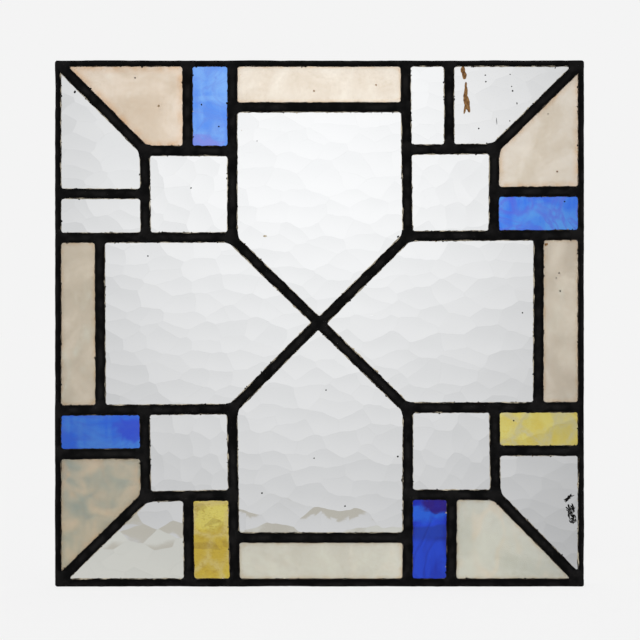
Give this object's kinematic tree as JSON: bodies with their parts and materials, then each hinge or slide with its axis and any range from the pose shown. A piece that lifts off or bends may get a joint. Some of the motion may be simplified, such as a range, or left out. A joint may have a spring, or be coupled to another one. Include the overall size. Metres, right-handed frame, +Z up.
{
  "type": "leaded glass panel",
  "caption": "Nearly square leaded glass panel: hammered, opal and coloured panes in lead cames, laid out as squares, strips, corner diagonals and a middle cross.",
  "frame": {"origin": "centre of the flat underside of the lower border came", "axes": "+X across the panel to the right as seen from the front, +Z up, the front faces -Y"},
  "size_m": [0.46, 0.007, 0.4575],
  "materials": {
    "lead": "lead with a near-black patina, dull, hand-worked",
    "solder": "tin-lead solder, blackened, slightly smoother than the lead",
    "cement": "dark glazing cement, matt, brown stains",
    "clear_glass": "clear cathedral glass, hammered",
    "beige_glass": "beige opalescent glass, wispy, hammered",
    "blue_glass": "streaky cobalt blue glass with violet wisps, hammered",
    "amber_glass": "amber glass, hammered"
  },
  "bodies": {
    "root": {"border_came_bottom": "lead", "border_came_left": "lead", "border_came_right": "lead", "border_came_top": "lead", "cement": "cement", "corner_diagonal_cames": "lead", "cross_came_halves": "lead", "cross_came_long": "lead", "edge_strip_cames": "lead", "main_level_cames": "lead", "main_upright_cames": "lead", "pane_arm_bottom": "clear_glass", "pane_arm_left": "clear_glass", "pane_arm_right": "clear_glass", "pane_arm_top": "clear_glass", "pane_lower_left_bottom": "clear_glass", "pane_lower_left_level_slip": "blue_glass", "pane_lower_left_side": "beige_glass", "pane_lower_left_square": "clear_glass", "pane_lower_left_upright_slip": "amber_glass", "pane_lower_right_bottom": "beige_glass", "pane_lower_right_level_slip": "amber_glass", "pane_lower_right_side": "clear_glass", "pane_lower_right_square": "clear_glass", "pane_lower_right_upright_slip": "blue_glass", "pane_strip_bottom": "beige_glass", "pane_strip_left": "beige_glass", "pane_strip_right": "beige_glass", "pane_strip_top": "beige_glass", "pane_upper_left_level_slip": "clear_glass", "pane_upper_left_side": "clear_glass", "pane_upper_left_square": "clear_glass", "pane_upper_left_top": "beige_glass", "pane_upper_left_upright_slip": "blue_glass", "pane_upper_right_level_slip": "blue_glass", "pane_upper_right_side": "beige_glass", "pane_upper_right_square": "clear_glass", "pane_upper_right_top": "clear_glass", "pane_upper_right_upright_slip": "clear_glass", "slip_level_cames": "lead", "slip_upright_cames": "lead", "solder_back": "solder", "solder_front": "solder", "square_level_cames": "lead", "square_upright_cames": "lead"}
  },
  "joints": []
}
